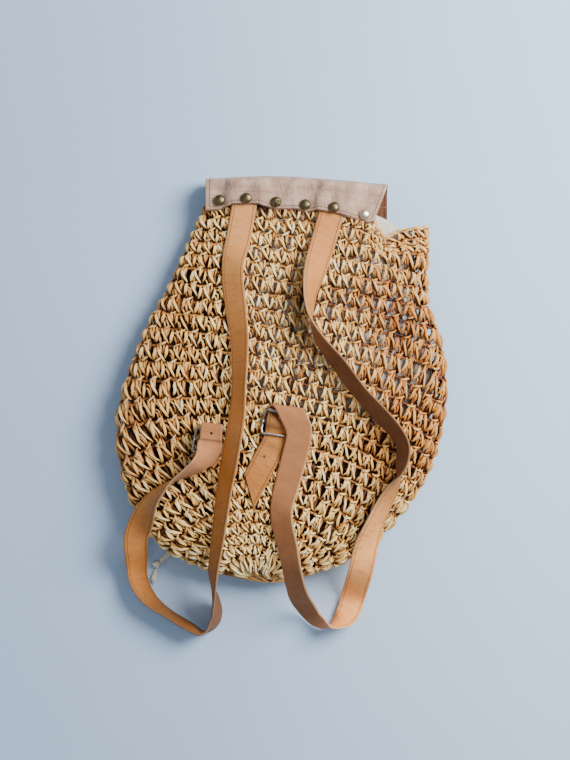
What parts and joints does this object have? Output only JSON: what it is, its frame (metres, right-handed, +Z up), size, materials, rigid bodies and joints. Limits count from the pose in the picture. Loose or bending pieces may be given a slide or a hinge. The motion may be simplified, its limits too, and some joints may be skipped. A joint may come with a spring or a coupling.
{
  "type": "woven straw backpack",
  "caption": "Crocheted straw drawstring-style backpack lying on its front, with leather straps, roller buckles and a riveted leather flap.",
  "frame": {"origin": "on the surface that the bag lies on, under the middle of the whole object", "axes": "+Z up, away from the surface and towards the bag's back; +Y from the bag's bottom to its mouth; +X to the right seen from above"},
  "size_m": [0.2937, 0.4081, 0.0756],
  "materials": {
    "straw": "twisted straw cord, crocheted",
    "lining_cloth": "plain cotton",
    "flap_leather": "matt, nubuck-like",
    "strap_leather": "satin grain side, matt flesh side",
    "rivet_brass": "antiqued",
    "buckle_metal": "nickel plated",
    "tie_yarn": "twisted yarn"
  },
  "bodies": {
    "root": {"straw_bag": "straw", "lining": "lining_cloth", "flap": "flap_leather", "rivet_1": "rivet_brass", "rivet_2": "rivet_brass", "rivet_3": "rivet_brass", "rivet_4": "rivet_brass", "rivet_5": "rivet_brass", "rivet_6": "rivet_brass", "strap_left": "strap_leather", "strap_right": "strap_leather", "buckle_frame_left": "buckle_metal", "buckle_roller_left": "buckle_metal", "buckle_prong_left": "buckle_metal", "buckle_tab_left": "strap_leather", "buckle_frame_right": "buckle_metal", "buckle_roller_right": "buckle_metal", "buckle_prong_right": "buckle_metal", "buckle_tab_right": "strap_leather", "tie_cord": "tie_yarn", "tie_knot": "tie_yarn", "tie_tassel": "tie_yarn"}
  },
  "joints": []
}
